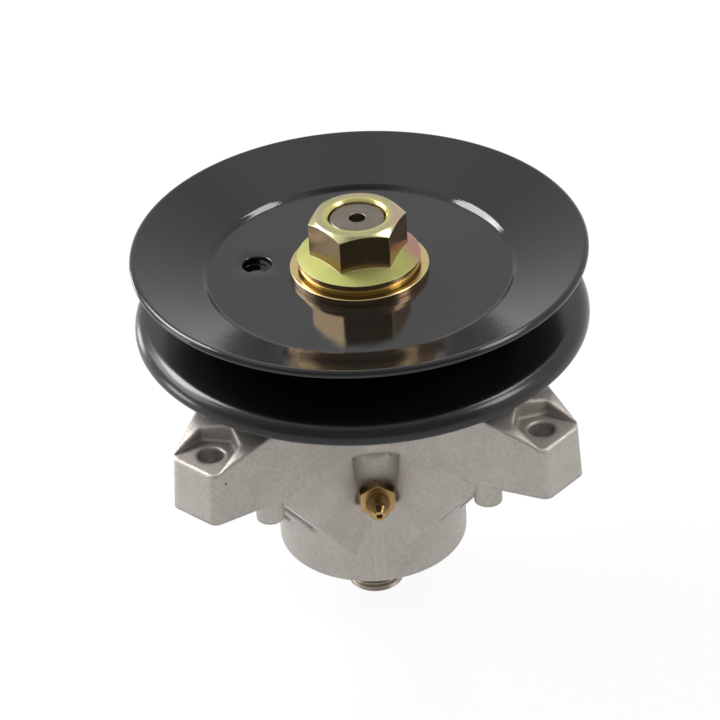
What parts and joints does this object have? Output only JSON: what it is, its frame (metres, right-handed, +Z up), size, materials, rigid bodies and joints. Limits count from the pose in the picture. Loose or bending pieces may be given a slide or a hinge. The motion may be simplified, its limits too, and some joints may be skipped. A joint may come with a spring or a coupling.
{
  "type": "mower deck spindle",
  "caption": "Mower deck spindle: die-cast aluminium housing with bolting ears, shaft on sealed ball bearings, pressed black V-belt pulley, flanged nut and grease fitting.",
  "frame": {"origin": "On the shaft axis, in the plane of the ears' undersides that bolt against the mower deck.", "axes": "+Z runs up the shaft to the pulley, -Y faces the grease fitting, the four ears lie on the diagonals."},
  "size_m": [0.127, 0.127, 0.1242],
  "materials": {
    "cast_aluminium": "satin die casting",
    "black_paint": "gloss black paint",
    "yellow_zinc": "yellow zinc plating",
    "shaft_steel": "turned steel",
    "bearing_steel": "ground steel",
    "brass": "turned brass",
    "seal_rubber": "moulded rubber"
  },
  "bodies": {
    "housing": {"spindle_housing": "cast_aluminium", "grease_fitting_body": "brass", "grease_fitting_spring": "bearing_steel", "upper_bearing_outer_ring": "bearing_steel", "upper_bearing_top_seal": "seal_rubber", "upper_bearing_bottom_seal": "seal_rubber", "lower_bearing_outer_ring": "bearing_steel", "lower_bearing_top_seal": "seal_rubber", "lower_bearing_bottom_seal": "seal_rubber"},
    "rotor": {"spindle_shaft": "shaft_steel", "bearing_spacer": "shaft_steel", "pulley_spacer": "shaft_steel", "pulley_lower_half": "black_paint", "pulley_upper_half": "black_paint", "pulley_washer": "yellow_zinc", "pulley_nut": "yellow_zinc", "upper_bearing_inner_ring": "bearing_steel", "lower_bearing_inner_ring": "bearing_steel"},
    "upper_cage": {"upper_bearing_balls": "bearing_steel", "upper_bearing_cage": "bearing_steel"},
    "lower_cage": {"lower_bearing_balls": "bearing_steel", "lower_bearing_cage": "bearing_steel"},
    "check_ball": {"grease_fitting_ball": "bearing_steel"}
  },
  "joints": [
    {"name": "spindle_spin", "type": "hinge", "parent": "housing", "child": "rotor", "pos_m": [0, 0, 0], "axis": [0, 0, 1], "continuous": true},
    {"name": "upper_cage_spin", "type": "hinge", "parent": "housing", "child": "upper_cage", "pos_m": [0, 0, 0.026], "axis": [0, 0, 1], "continuous": true},
    {"name": "lower_cage_spin", "type": "hinge", "parent": "housing", "child": "lower_cage", "pos_m": [0, 0, -0.0385], "axis": [0, 0, 1], "continuous": true},
    {"name": "check_ball_slide", "type": "slide", "parent": "housing", "child": "check_ball", "axis": [0, 1, 0], "range_m": [0, 0.0008], "stiffness_N_per_m": 1, "deforming": ["grease_fitting_spring"]}
  ],
  "couplings": [
    {"joint": "upper_cage_spin", "follows": "spindle_spin", "ratio": 0.38163},
    {"joint": "lower_cage_spin", "follows": "spindle_spin", "ratio": 0.38163}
  ]
}
